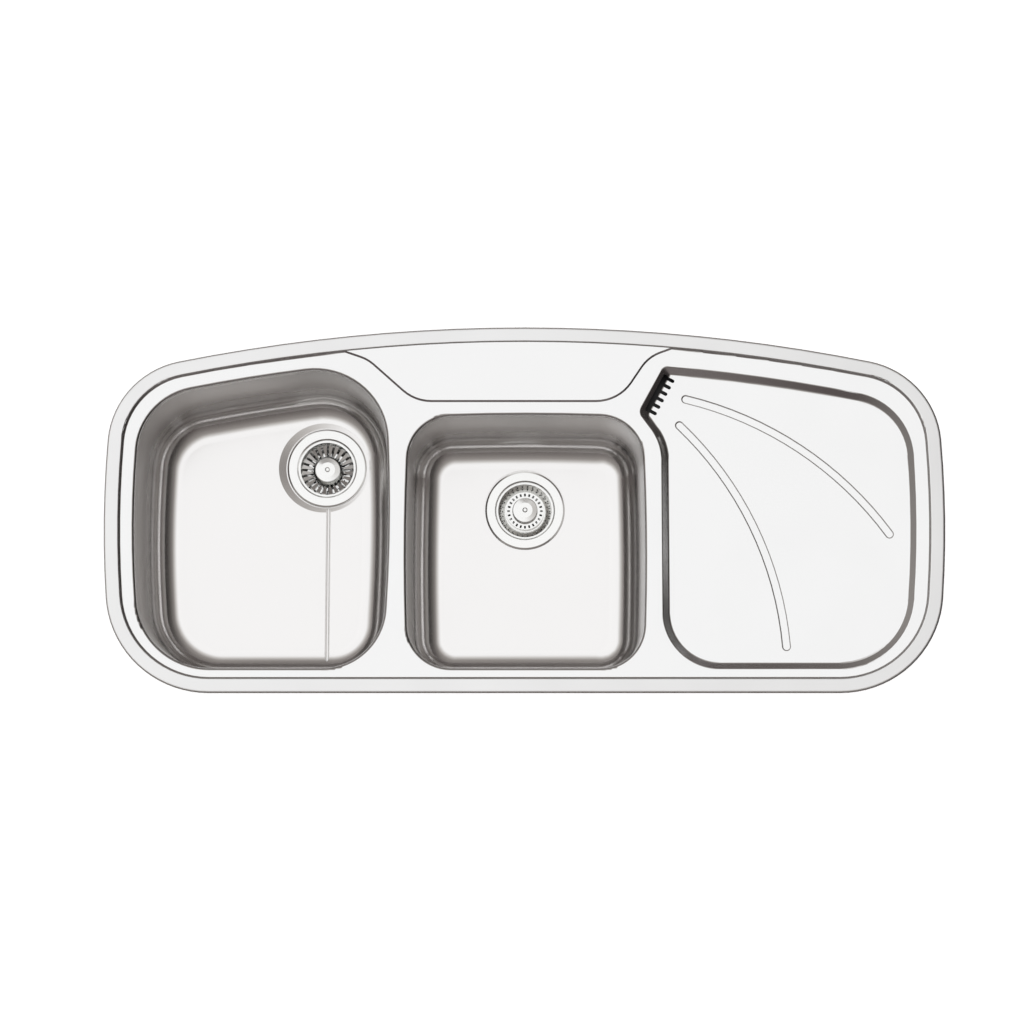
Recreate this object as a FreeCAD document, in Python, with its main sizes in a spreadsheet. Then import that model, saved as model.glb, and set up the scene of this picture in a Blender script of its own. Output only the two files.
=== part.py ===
import FreeCAD, Part
import math
import os
import re

import Sketcher
from FreeCAD import Placement, Rotation, Vector

# Inset stainless steel kitchen sink: a large bowl, a smaller bowl and a recessed drainer.
# Frame: X along the length, Y to the back, Z up, origin at the middle of the sink
# on the worktop surface. Sizes are millimetres and degrees.

SIZES = [
    # name, value, meaning
    ("half_length", 580.0, "middle to the outermost point of each end"),
    ("back_reach", 256.5, "middle to the outermost point of the back edge"),
    ("front_reach", 256.5, "middle to the front edge"),
    ("back_curve", 2400.0, "radius of the curved back edge"),
    ("end_curve", 1500.0, "radius of the slightly curved ends"),
    ("back_corner", 122.0, "rim corner radius at the back"),
    ("front_corner", 145.0, "rim corner radius at the front"),
    ("sheet_metal", 1.0, "thickness of the deck sheet"),
    ("rim_height", 6.0, "top of the rim above the worktop"),
    ("rim_width", 22.0, "rim band, outer edge to step"),
    ("rim_round", 5.0, "outer edge of the rim"),
    ("land_top", 1.0, "top of the land between the bowls"),
    ("step_round", 2.4, "edges of the step from rim to land"),
    ("ledge_top", 3.5, "top of the tap ledge"),
    ("ledge_front", 149.7, "front line of the tap ledge"),
    ("ledge_left", -152.0, "left end of the ledge's straight front"),
    ("ledge_right", 131.0, "right end of the ledge's straight front"),
    ("ledge_corner", 60.0, "front corners of the ledge"),
    ("ledge_sweep", 52.0, "hollow corners where the ledge runs into the rim"),
    ("ledge_left_flank", 66.0, "run of the ledge's slanting left side, across"),
    ("ledge_right_flank", 42.0, "run of the ledge's slanting right side, across"),
    ("ledge_tail", 36.0, "each narrow end of the ledge, along the step"),
    ("ledge_neck", 15.5, "width of those narrow ends"),
    ("end_land", 21.0, "land between the step and a bowl at the ends and the back"),
    ("front_land", 14.5, "land between the step and a bowl at the front"),
    ("drainer_end_land", 18.0, "land between the step and the drainer at the end"),
    ("drainer_front_land", 12.7, "land in front of the drainer"),
    ("drainer_back_land", 26.0, "land behind the drainer"),
    ("large_right", -194.0, "right side of the large bowl's opening"),
    ("large_side_curve", 2300.0, "radius of the large bowl's right side"),
    ("large_inner_corner", 100.0, "large bowl's back corner beside the small bowl"),
    ("large_back_corner", 90.0, "large bowl's back corner at the end"),
    ("large_front_corner", 85.0, "large bowl's front corner beside the small bowl"),
    ("small_left", -161.5, "left side of the small bowl's opening"),
    ("small_right", 165.0, "right side of the small bowl's opening"),
    ("small_back", 129.5, "back of the small bowl's opening"),
    ("small_side_curve", 3200.0, "radius of the small bowl's sides"),
    ("small_corner", 60.0, "corners of the small bowl's opening"),
    ("side_bow", 4.0, "bow of the bowls' curved sides"),
    ("opening_round", 5.0, "turned-down edge of the bowl openings"),
    ("collar_depth", 9.0, "land top to the weld between deck and bowl"),
    ("large_depth", 173.0, "worktop to the large bowl's floor"),
    ("small_depth", 172.0, "worktop to the small bowl's floor"),
    ("bowl_metal", 0.9, "thickness of the bowls"),
    ("bowl_draft", 2.5, "lean of the bowl walls"),
    ("large_floor_round", 39.0, "round between the large bowl's wall and floor"),
    ("small_floor_round", 39.0, "round between the small bowl's wall and floor"),
    ("large_drain_x", -284.2, "large bowl's waste, across"),
    ("large_drain_y", 88.6, "large bowl's waste, to the back"),
    ("small_drain_x", 0.7, "small bowl's waste, across"),
    ("small_drain_y", 26.6, "small bowl's waste, to the back"),
    ("dish_radius", 65.0, "shallow round dish about the large bowl's waste"),
    ("dish_shift", 4.0, "middle of the waste to the middle of the dish, towards the end"),
    ("dish_slope", 11.0, "plan width of the dish's sloping side"),
    ("dish_depth", 3.2, "depth of that dish"),
    ("groove_width", 6.4, "floor groove of the large bowl"),
    ("groove_depth", 3.0, "depth of the floor groove"),
    ("groove_front", -196.0, "front end of the floor groove"),
    ("groove_shift", 3.0, "middle of the waste to the middle of the groove, across"),
    ("groove_start", 5.0, "how far the groove runs into the dish"),
    ("seat_depth", 2.6, "depth of the recess that takes a waste's flange"),
    ("drainer_left", 189.5, "straight left side of the drainer recess"),
    ("drainer_tip_x", 158.0, "leftmost point of the drainer recess, across"),
    ("drainer_tip_y", 135.7, "leftmost point of the drainer recess, to the back"),
    ("drainer_elbow_y", 92.5, "where the tip meets the straight left side"),
    ("drainer_top_x", 193.0, "back left corner of the drainer recess, across"),
    ("drainer_front_corner", 78.0, "front left corner of the drainer recess"),
    ("drainer_far_corner", 92.0, "back right corner of the drainer recess"),
    ("drainer_top_corner", 11.0, "back left corner of the drainer recess"),
    ("drainer_tip_corner", 13.0, "tip of the drainer recess"),
    ("drainer_elbow", 70.0, "bend between the tip and the straight left side"),
    ("drainer_wall", 9.0, "plan width of the drainer's sloping wall"),
    ("outlet_wall", 13.0, "plan width of the wall above the outlet slots"),
    ("tip_depth", 10.0, "land top to the drainer floor at the tip"),
    ("far_depth", 5.0, "land top to the drainer floor at the far corner"),
    ("drainer_round", 4.0, "round at the foot of the drainer's wall"),
    ("drainer_edge_round", 2.5, "round at the top of the drainer's wall"),
    ("furrow_width", 9.0, "furrows in the drainer floor"),
    ("furrow_depth", 2.6, "depth of the furrows"),
    ("furrow_round", 2.2, "rounded edges of the furrows"),
    ("furrow_curve", 482.0, "radius of the furrows' runs"),
    ("back_furrow_start_x", 66.0, "drainer's tip to the start of the back furrow, across"),
    ("back_furrow_start_y", 20.0, "drainer's tip to the start of the back furrow, to the back"),
    ("back_furrow_end_x", 345.0, "drainer's tip to the end of the back furrow, across"),
    ("back_furrow_end_y", -170.0, "drainer's tip to the end of the back furrow, to the back"),
    ("front_furrow_start_x", 57.0, "drainer's tip to the start of the front furrow, across"),
    ("front_furrow_start_y", -17.0, "drainer's tip to the start of the front furrow, to the back"),
    ("front_furrow_end_x", 201.0, "drainer's tip to the end of the front furrow, across"),
    ("front_furrow_end_y", -326.0, "drainer's tip to the end of the front furrow, to the back"),
    ("outlet_gap", 7.0, "width of the long gap at the foot of the outlet wall"),
    ("outlet_lip", 0.5, "that gap to the foot of the wall"),
    ("slot_count", 6, "outlet slots that run from the gap into the floor"),
    ("slot_pitch", 10.4, "outlet slots, middle to middle"),
    ("slot_width", 5.0, "width of an outlet slot"),
    ("slot_length", 14.0, "length of an outlet slot from the middle of the gap"),
    ("seal_width", 8.0, "foam tape under the rim"),
    ("seal_edge_gap", 5.5, "rim's outer edge to the foam tape"),
    ("pad_thickness", 2.0, "sound damping pads"),
    ("large_pad_length", 150.0, "large bowl's damping pad, across"),
    ("large_pad_width", 170.0, "large bowl's damping pad, front to back"),
    ("large_pad_offset", 205.0, "large bowl's waste to the pad's far side, across"),
    ("small_pad_length", 180.0, "small bowl's damping pad, across"),
    ("small_pad_width", 80.0, "small bowl's damping pad, front to back"),
    ("pad_front_gap", 105.0, "sink's front edge to a damping pad"),
    ("bracket_length", 16.0, "clamp bracket, along the rim"),
    ("bracket_width", 9.4, "clamp bracket, across the rim"),
    ("bracket_drop", 24.0, "worktop surface to the bracket's threaded tab"),
    ("bracket_metal", 2.0, "thickness of the bracket"),
    ("tab_metal", 4.0, "thickness of the threaded tab"),
    ("clamp_spread", 400.0, "middle to the outer clamps, across"),
    ("clamp_inset", 3.0, "step to the middle of a clamp"),
    ("screw_radius", 2.5, "clamp screws, M5"),
    ("screw_length", 30.0, "clamp screw, tip to head"),
    ("screw_tip", 16.0, "worktop surface down to a clamp screw's tip"),
    ("head_radius", 4.2, "clamp screw head"),
    ("head_height", 3.5, "clamp screw head"),
    ("thread_fit", 0.05, "radial play of a screw in its thread"),
    ("arm_length", 24.0, "clamp arm, screw to tip"),
    ("arm_width", 9.0, "clamp arm"),
    ("arm_metal", 2.5, "clamp arm"),
    ("arm_lip", 5.0, "turned-up biting edge of a clamp arm"),
    ("flange_radius", 57.0, "flange of a waste"),
    ("flange_rise", 1.8, "flange of a waste, above its seal"),
    ("flange_seal", 1.0, "seal under the flange"),
    ("cup_mouth", 41.2, "inside radius of the waste's cup"),
    ("cup_step", 39.6, "cup inside the step that carries the basket"),
    ("cup_step_depth", 5.0, "flange top down to that step"),
    ("cup_base", 36.0, "inside radius of the cup's bottom"),
    ("cup_depth", 42.0, "flange top to the cup's bottom"),
    ("cup_metal", 1.0, "cup"),
    ("cup_foot", 5.0, "slope at the foot of the cup"),
    ("flange_play", 1.5, "gap between a flange and its recess"),
    ("hole_play", 2.8, "gap between the cup and the hole in the bowl"),
    ("cup_hole", 3.2, "radius of the drain holes in the cup's bottom"),
    ("cup_hole_ring", 24.0, "circle of the cup's drain holes"),
    ("cup_hole_count", 12, "drain holes in the cup's bottom"),
    ("gasket_thickness", 2.5, "rubber gasket under the bowl"),
    ("housing_flange", 9.0, "flange of the waste housing past its barrel"),
    ("housing_wall", 2.5, "waste housing"),
    ("housing_play", 2.3, "gap between the cup and the housing"),
    ("housing_room", 5.8, "cup's bottom to the housing's cone"),
    ("housing_lip", 5.0, "thickness of the housing's flange"),
    ("cone_depth", 18.0, "cone of the waste housing"),
    ("spigot_radius", 23.9, "outlet spigot, G1 1/2 thread"),
    ("spigot_length", 26.0, "outlet spigot"),
    ("boss_radius", 7.0, "boss inside the housing that takes the centre bolt"),
    ("boss_length", 14.0, "that boss"),
    ("web_width", 3.0, "webs that carry the boss"),
    ("bolt_radius", 3.0, "centre bolt, M6"),
    ("bolt_head", 6.5, "centre bolt head"),
    ("bolt_grip", 18.0, "centre bolt under its head"),
    ("basket_play", 0.6, "gap between the basket's rim and the cup"),
    ("basket_clear", 0.6, "gap between the basket's cone and the cup's step"),
    ("basket_metal", 0.8, "strainer basket"),
    ("basket_depth", 17.0, "depth of the slotted basket"),
    ("basket_wall", 8.0, "steep wall of the slotted basket"),
    ("basket_waist", 36.4, "foot of that wall"),
    ("basket_floor", 17.5, "flat middle of the slotted basket"),
    ("slot_ring_count", 24, "radial slots of the slotted basket"),
    ("radial_slot", 3.4, "width of a radial slot"),
    ("cage_radius", 27.0, "wall of the small bowl's cage"),
    ("cage_drop", 3.0, "basket's seat down to the top of the cage"),
    ("trough_depth", 14.0, "basket's seat down to the trough about the cage"),
    ("trough_radius", 29.6, "foot of the trough's outer wall"),
    ("cage_slots", 24, "slots in the top of the cage"),
    ("cage_slot", 2.6, "width of a cage slot"),
    ("cage_slot_start", 21.4, "inner end of a cage slot"),
    ("trough_holes", 30, "holes in each row of the trough's outer wall"),
    ("trough_hole", 1.0, "radius of those holes"),
    ("lower_hole_ring", 32.4, "circle of the lower row"),
    ("upper_hole_ring", 35.6, "circle of the upper row"),
    ("knob_radius", 18.0, "cap of the lifting knob"),
    ("knob_neck", 6.0, "neck under the cap"),
    ("neck_length", 5.5, "basket's middle to the cap"),
    ("cap_thickness", 3.0, "edge of the cap"),
    ("cap_crown", 1.6, "crown of the cap above its edge"),
    ("cap_button", 3.6, "radius of the button in the middle of the cap"),
    ("button_rise", 1.4, "button above the cap's crown"),
    ("stem_radius", 3.0, "stem under the knob"),
    ("stopper_radius", 13.0, "rubber stopper under the basket"),
    ("stopper_thickness", 4.0, "rubber stopper"),
    ("nut_radius", 5.5, "nut under the stopper"),
    ("nut_height", 3.0, "nut under the stopper"),
    ("stem_fit", 0.05, "radial play about the stem"),
    ("outlet_box_depth", 24.0, "drainer outlet box, below the drainer's tip"),
    ("outlet_box_wall", 2.0, "drainer outlet box"),
    ("outlet_box_width", 26.0, "drainer outlet box, across the slots"),
    ("outlet_box_spare", 3.0, "drainer outlet box past the last slot, each end"),
    ("outlet_box_shift", 2.0, "top of the outlet wall to the outlet box"),
    ("hose_spigot", 10.0, "radius of the outlet box's hose spigot"),
    ("hose_spigot_length", 22.0, "the outlet box's hose spigot"),
    ("recess_reach", 4.6, "how far up the bowl's floor round a recess is cut"),
]

WORD = re.compile(r"[a-z]\w*")


def make_sheet(document):
    """Puts every driving size in the spreadsheet and returns the same sizes by name."""
    sheet = document.addObject("Spreadsheet::Sheet", "Sizes")
    for row, (name, value, meaning) in enumerate(SIZES, start=1):
        sheet.set("A%d" % row, name)
        sheet.set("B%d" % row, str(value))
        sheet.set("C%d" % row, meaning)
        sheet.setAlias("B%d" % row, name)
    document.recompute()
    return {name: float(sheet.get(name)) for name, value, meaning in SIZES}


document = FreeCAD.newDocument("KitchenSink")
size = make_sheet(document)


def bound(text):
    """Turns a formula in size names into an expression that reads the spreadsheet."""
    return WORD.sub(lambda found: "Sizes." + found.group(0), text)


# ---------------------------------------------------------------- outlines

class Side:
    """One side of an outline: a line, or an arc that bulges outwards."""

    def __init__(self, start, end, curve, inset):
        chord = end - start
        self.inward = Vector(-chord.y, chord.x, 0).normalize()
        self.anchor = start + self.inward * inset
        self.centre = None
        if curve:
            rise = math.sqrt(curve ** 2 - (chord.Length / 2) ** 2)
            self.centre = (start + end) * 0.5 + self.inward * rise
            self.radius = curve - inset

    def depth_of(self, point):
        """How far a point lies inside the side."""
        if self.centre is None:
            return (point - self.anchor).dot(self.inward)
        return self.radius - (point - self.centre).Length

    def inward_at(self, point):
        if self.centre is None:
            return self.inward
        return (self.centre - point).normalize()

    def nearest(self, point):
        return point - self.inward_at(point) * self.depth_of(point)

    def geometry(self, start, end):
        if self.centre is None:
            return Part.LineSegment(start, end)
        middle = self.nearest((start + end) * 0.5)
        return Part.Arc(start, middle, end)


def point_at_depths(side_a, side_b, depth, guess):
    """The point that lies the same depth inside two sides."""
    point = Vector(guess)
    for step in range(30):
        normal_a = side_a.inward_at(point)
        normal_b = side_b.inward_at(point)
        miss_a = depth - side_a.depth_of(point)
        miss_b = depth - side_b.depth_of(point)
        area = normal_a.x * normal_b.y - normal_a.y * normal_b.x
        move_x = (miss_a * normal_b.y - miss_b * normal_a.y) / area
        move_y = (normal_a.x * miss_b - normal_b.x * miss_a) / area
        point = point + Vector(move_x, move_y, 0)
    return point


def outline(corners, inset=0.0, insets=None):
    """A closed outline of arcs and lines, counter-clockwise.

    Each corner is (x, y, corner radius, radius of the side that follows). The outline
    is moved inwards by inset, or side by side by insets, and stays parallel.
    """
    count = len(corners)
    points = [Vector(corner[0], corner[1], 0) for corner in corners]
    moves = insets or [inset] * count
    sides = [
        Side(points[i], points[(i + 1) % count], corners[i][3], moves[i])
        for i in range(count)
    ]
    rounds = []
    for i in range(count):
        before = sides[i - 1]
        after = sides[i]
        turn_in = before.inward_at(points[i])
        turn_out = after.inward_at(points[i])
        convex = turn_in.cross(turn_out).z > 0
        move = min(moves[i - 1], moves[i])
        if convex:
            depth = max(corners[i][2] - move, 0.2)
        else:
            depth = -max(corners[i][2] + move, 0.2)
        centre = point_at_depths(before, after, depth, points[i])
        first = before.nearest(centre)
        last = after.nearest(centre)
        towards = ((first + last) * 0.5 - centre).normalize()
        rounds.append((first, centre + towards * abs(depth), last))
    chain = []
    for i in range(count):
        first, middle, last = rounds[i]
        chain.append(Part.Arc(first, middle, last))
        chain.append(sides[i].geometry(last, rounds[(i + 1) % count][0]))
    return chain


def back_line(distance, across):
    """Height on the plan of a line parallel to the curved back edge."""
    curve = size["back_curve"] - distance
    middle = size["back_reach"] - size["back_curve"]
    return middle + math.sqrt(curve ** 2 - across ** 2)


def end_line(distance, along):
    """Distance from the middle of a line parallel to the curved ends."""
    curve = size["end_curve"] - distance
    middle = size["half_length"] - size["end_curve"]
    return middle + math.sqrt(curve ** 2 - along ** 2)


def corner_across(ends, back):
    """Distance from the middle of the corner where an end line meets a back line."""
    return end_line(ends, back_line(back, size["half_length"] - ends))


def rim_corners():
    front = -size["front_reach"]
    front_x = end_line(0, front)
    back_x = corner_across(0, 0)
    back_y = back_line(0, back_x)
    return [
        (-front_x, front, size["front_corner"], 0),
        (front_x, front, size["front_corner"], size["end_curve"]),
        (back_x, back_y, size["back_corner"], size["back_curve"]),
        (-back_x, back_y, size["back_corner"], size["end_curve"]),
    ]


def ledge_corners():
    """The ledge's back side lies just inside the wall of the step."""
    behind = size["rim_width"] - size["sheet_metal"] / 2
    neck = size["rim_width"] + size["ledge_neck"]
    left_turn = size["ledge_left"] - size["ledge_left_flank"]
    right_turn = size["ledge_right"] + size["ledge_right_flank"]
    left_end = left_turn - size["ledge_tail"]
    right_end = right_turn + size["ledge_tail"]
    return [
        (size["ledge_left"], size["ledge_front"], size["ledge_corner"], 0),
        (size["ledge_right"], size["ledge_front"], size["ledge_corner"], 0),
        (right_turn, back_line(neck, right_turn), size["ledge_sweep"], 0),
        (right_end, back_line(behind, right_end), 0.3, size["back_curve"] - behind),
        (left_end, back_line(behind, left_end), 0.3, 0),
        (left_turn, back_line(neck, left_turn), size["ledge_sweep"], 0),
    ]


def large_bowl_corners():
    ends = size["rim_width"] + size["end_land"]
    front = -size["front_reach"] + size["rim_width"] + size["front_land"]
    front_x = -end_line(ends, front)
    right = size["large_right"] - size["side_bow"]
    back_y = back_line(ends, right)
    far_x = -corner_across(ends, ends)
    far_y = back_line(ends, far_x)
    return [
        (front_x, front, size["front_corner"] - ends, 0),
        (right, front, size["large_front_corner"], size["large_side_curve"]),
        (right, back_y, size["large_inner_corner"], size["back_curve"] - ends),
        (far_x, far_y, size["large_back_corner"], size["end_curve"] - ends),
    ]


def small_bowl_corners():
    front = -size["front_reach"] + size["rim_width"] + size["front_land"]
    left = size["small_left"] + size["side_bow"]
    right = size["small_right"] - size["side_bow"]
    back = size["small_back"] - size["side_bow"] / 2
    curve = size["small_side_curve"]
    return [
        (left, front, size["small_corner"], 0),
        (right, front, size["small_corner"], curve),
        (right, back, size["small_corner"], curve),
        (left, back, size["small_corner"], curve),
    ]


def drainer_corners():
    """Front left, front right, back right, back left, tip and elbow."""
    ends = size["rim_width"] + size["drainer_end_land"]
    back = size["rim_width"] + size["drainer_back_land"]
    front = -size["front_reach"] + size["rim_width"] + size["drainer_front_land"]
    front_x = end_line(ends, front)
    far_x = corner_across(ends, back)
    top_x = size["drainer_top_x"]
    return [
        (size["drainer_left"], front, size["drainer_front_corner"], 0),
        (front_x, front, size["front_corner"] - ends, size["end_curve"] - ends),
        (far_x, back_line(back, far_x), size["drainer_far_corner"], size["back_curve"] - back),
        (top_x, back_line(back, top_x), size["drainer_top_corner"], 0),
        (size["drainer_tip_x"], size["drainer_tip_y"], size["drainer_tip_corner"], 0),
        (size["drainer_left"], size["drainer_elbow_y"], size["drainer_elbow"], 0),
    ]


def drainer_wall_insets(extra=0.0):
    """Plan width of the drainer's wall, side by side; the slotted wall is wider."""
    wall = size["drainer_wall"] + extra
    slotted = size["outlet_wall"] + extra
    return [wall, wall, wall, slotted, wall, wall]


def drainer_floor_place(drop=0.0):
    """The drainer floor's plane: it falls from the far front corner to the tip."""
    tip = Vector(size["drainer_tip_x"], size["drainer_tip_y"], 0)
    far = Vector(size["half_length"], -size["front_reach"], 0)
    run = far - tip
    fall = size["tip_depth"] - size["far_depth"]
    tilt = math.degrees(math.atan2(fall, run.Length))
    axis = Vector(run.y, -run.x, 0).normalize()
    turn = Rotation(axis, tilt)
    tip_z = size["land_top"] - size["tip_depth"] - drop
    tip_floor = Vector(tip.x, tip.y, tip_z)
    base = tip_floor - turn.multVec(tip)
    return Placement(base, turn)


# ---------------------------------------------------------------- features

def new_body(label):
    body = document.addObject("PartDesign::Body", label)
    body.Label = label
    return body


def origin_part(body, role):
    return [part for part in body.Origin.OriginFeatures if part.Role == role][0]


def new_sketch(body, name, plane="XY_Plane", height=None, place=None):
    """A sketch on one of the body's own planes, raised by a formula or tilted."""
    sketch = body.newObject("Sketcher::SketchObject", name)
    sketch.AttachmentSupport = [(origin_part(body, plane), "")]
    sketch.MapMode = "FlatFace"
    if height is not None:
        sketch.setExpression("AttachmentOffset.Base.z", bound(height))
    if place is not None:
        sketch.AttachmentOffset = place
    return sketch


def outline_sketch(body, name, chains, height=None, place=None):
    sketch = new_sketch(body, name, height=height, place=place)
    for chain in chains:
        for piece in chain:
            sketch.addGeometry(piece, False)
    return sketch


def circle_sketch(body, name, radius, height=None, across=None, along=None):
    """A circle whose radius and middle are formulas in size names."""
    sketch = new_sketch(body, name, height=height)
    sketch.addGeometry(Part.Circle(Vector(1, 1, 0), Vector(0, 0, 1), 5), False)
    bind(sketch, Sketcher.Constraint("Radius", 0, 5.0), radius)
    if across is None:
        sketch.addConstraint(Sketcher.Constraint("Coincident", 0, 3, -1, 1))
    else:
        bind(sketch, Sketcher.Constraint("DistanceX", -1, 1, 0, 3, 1.0), across)
        bind(sketch, Sketcher.Constraint("DistanceY", -1, 1, 0, 3, 1.0), along)
    return sketch


def bind(sketch, constraint, formula):
    index = sketch.addConstraint(constraint)
    sketch.setExpression("Constraints[%d]" % index, bound(formula))


def polygon_sketch(body, name, points, plane="XZ_Plane", height=None):
    """A closed polygon; each point is a pair of formulas."""
    sketch = new_sketch(body, name, plane, height)
    count = len(points)
    turn = 2 * math.pi / count
    spread = [
        Vector(50 + 20 * math.cos(i * turn), 20 * math.sin(i * turn), 0)
        for i in range(count)
    ]
    for i in range(count):
        sketch.addGeometry(Part.LineSegment(spread[i], spread[(i + 1) % count]), False)
    for i in range(count):
        sketch.addConstraint(Sketcher.Constraint("Coincident", i, 2, (i + 1) % count, 1))
    for i, (first, second) in enumerate(points):
        place_x = Sketcher.Constraint("DistanceX", -1, 1, i, 1, spread[i].x)
        place_y = Sketcher.Constraint("DistanceY", -1, 1, i, 1, spread[i].y)
        bind(sketch, place_x, first)
        bind(sketch, place_y, second)
    return sketch


def pad(body, sketch, name, length, down=False, lean=None):
    feature = body.newObject("PartDesign::Pad", name)
    feature.Profile = sketch
    feature.setExpression("Length", bound(length))
    feature.Reversed = down
    if lean is not None:
        feature.setExpression("TaperAngle", bound(lean))
    document.recompute()
    return feature


def pocket(body, sketch, name, length, up=False, lean=None):
    """A pocket; the body's volume is compared, because a wrong way cuts nothing."""
    before = body.Shape.Volume
    feature = body.newObject("PartDesign::Pocket", name)
    feature.Profile = sketch
    feature.setExpression("Length", bound(length))
    feature.Reversed = up
    if lean is not None:
        feature.setExpression("TaperAngle", bound(lean))
    document.recompute()
    if feature.Shape.Volume > before - 0.01:
        raise RuntimeError("nothing was cut by " + name)
    return feature


def loft(body, kind, name, profile, section):
    feature = body.newObject("PartDesign::" + kind, name)
    feature.Profile = profile
    feature.Sections = [section]
    feature.Ruled = True
    document.recompute()
    return feature


def edges_along(feature, chain, place, reach=0.02):
    """Names of the feature's edges that lie along an outline."""
    wire = Part.Wire([piece.toShape() for piece in chain])
    wire.Placement = place
    names = []
    for index, edge in enumerate(feature.Shape.Edges, start=1):
        ends = (edge.FirstParameter, edge.LastParameter)
        middle = edge.valueAt((ends[0] + ends[1]) / 2)
        spots = [edge.valueAt(ends[0]), middle, edge.valueAt(ends[1])]
        if all(Part.Vertex(spot).distToShape(wire)[0] < reach for spot in spots):
            names.append("Edge%d" % index)
    if not names:
        raise RuntimeError("no edges found on " + feature.Name)
    return names


def level(height):
    return Placement(Vector(0, 0, height), Rotation())


def fillet(body, base, name, edges, radius):
    feature = body.newObject("PartDesign::Fillet", name)
    feature.Base = (base, edges)
    feature.setExpression("Radius", bound(radius))
    document.recompute()
    return feature


def turned(label, profile, place=None):
    """A body of revolution about its own Z axis; the profile is pairs of formulas."""
    body = new_body(label)
    sketch = polygon_sketch(body, label + "_profile", profile)
    feature = body.newObject("PartDesign::Revolution", label + "_turn")
    feature.Profile = sketch
    feature.ReferenceAxis = (sketch, ["V_Axis"])
    feature.Angle = 360
    if place is not None:
        put(body, place)
    document.recompute()
    return body


def put(body, place):
    """Binds a body's place to formulas in size names."""
    for axis, formula in zip("xyz", place):
        body.setExpression("Placement.Base." + axis, bound(formula))


def around(body, feature, name, count):
    """Repeats a feature in a full turn about the body's Z axis."""
    pattern = body.newObject("PartDesign::PolarPattern", name)
    pattern.Originals = [feature]
    pattern.Axis = (origin_part(body, "Z_Axis"), [""])
    pattern.Angle = 360
    pattern.setExpression("Occurrences", bound(count))
    body.Tip = pattern
    document.recompute()
    return pattern


# ---------------------------------------------------------------- deck

# share of the sheet by which the inside of a 45 degree wall is set back
SKEW_SHARE = math.tan(math.radians(22.5))


def make_deck():
    """One pressing: rim, step, land, tap ledge, drainer and the bowls' turned-down collars."""
    body = new_body("deck")
    metal = size["sheet_metal"]
    rim = rim_corners()
    step = outline(rim, size["rim_width"])
    void_outer = outline(rim, metal)
    void_inner = outline(rim, size["rim_width"] - metal)

    sketch = outline_sketch(body, "rim_outline", [outline(rim)])
    pad(body, sketch, "rim", "rim_height")
    sketch = outline_sketch(body, "step_outline", [step], "rim_height")
    pocket(body, sketch, "land", "rim_height - land_top")
    sketch = outline_sketch(body, "void_outline", [void_outer, void_inner])
    tip = pocket(body, sketch, "rim_void", "rim_height - sheet_metal", up=True)

    top = level(size["rim_height"])
    ceiling = level(size["rim_height"] - metal)
    edges = edges_along(tip, void_outer, ceiling)
    tip = fillet(body, tip, "void_round", edges, "rim_round - sheet_metal")
    edges = edges_along(tip, void_inner, level(0))
    tip = fillet(body, tip, "step_under_round", edges, "step_round + sheet_metal")
    edges = edges_along(tip, outline(rim), top)
    tip = fillet(body, tip, "rim_outer_round", edges, "rim_round")
    edges = edges_along(tip, step, top) + edges_along(tip, step, level(size["land_top"]))
    tip = fillet(body, tip, "step_rounds", edges, "step_round")

    tip = add_ledge(body)
    tip = add_drainer(body)
    tip = add_furrows(body)
    tip = add_outlet_slots(body)
    for name, corners in (("large", large_bowl_corners()), ("small", small_bowl_corners())):
        tip = add_collar(body, name, corners)
    return body


def add_ledge(body):
    """The tap ledge stands above the land, with a sloping front."""
    corners = ledge_corners()
    rise = size["ledge_top"] - size["land_top"]
    skew = size["sheet_metal"] * SKEW_SHARE
    slopes = [1, 1, 1, 0, 1, 1]
    foot = outline_sketch(body, "ledge_foot", [outline(corners)], "land_top")
    crest = outline(corners, insets=[rise * slope for slope in slopes])
    crest = outline_sketch(body, "ledge_crest", [crest], "ledge_top")
    loft(body, "AdditiveLoft", "ledge", foot, crest)
    foot = outline(corners, insets=[skew * slope for slope in slopes])
    foot = outline_sketch(body, "ledge_void_foot", [foot], "land_top - sheet_metal")
    crest = outline(corners, insets=[(rise + skew) * slope for slope in slopes])
    crest = outline_sketch(body, "ledge_void_crest", [crest], "ledge_top - sheet_metal")
    return loft(body, "SubtractiveLoft", "ledge_void", foot, crest)


def add_drainer(body):
    """A shallow pan with sloping walls, and a falling floor."""
    corners = drainer_corners()
    metal = size["sheet_metal"]
    skew = metal * SKEW_SHARE
    mouth = outline(corners, -skew)
    mouth = outline_sketch(body, "pan_outer_mouth", [mouth], "land_top - sheet_metal")
    under = drainer_floor_place(metal)
    base = outline(corners, insets=drainer_wall_insets(-skew))
    base = outline_sketch(body, "pan_outer_base", [base], place=under)
    loft(body, "AdditiveLoft", "pan", mouth, base)
    floor = drainer_floor_place()
    mouth_chain = outline(corners)
    mouth = outline_sketch(body, "pan_mouth", [mouth_chain], "land_top")
    base_chain = outline(corners, insets=drainer_wall_insets())
    base = outline_sketch(body, "pan_base", [base_chain], place=floor)
    tip = loft(body, "SubtractiveLoft", "pan_hollow", mouth, base)
    edges = edges_along(tip, base_chain, floor)
    tip = fillet(body, tip, "pan_foot_round", edges, "drainer_round")
    edges = edges_along(tip, mouth_chain, level(size["land_top"]))
    tip = fillet(body, tip, "pan_edge_round", edges, "drainer_edge_round")
    return tip


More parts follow.
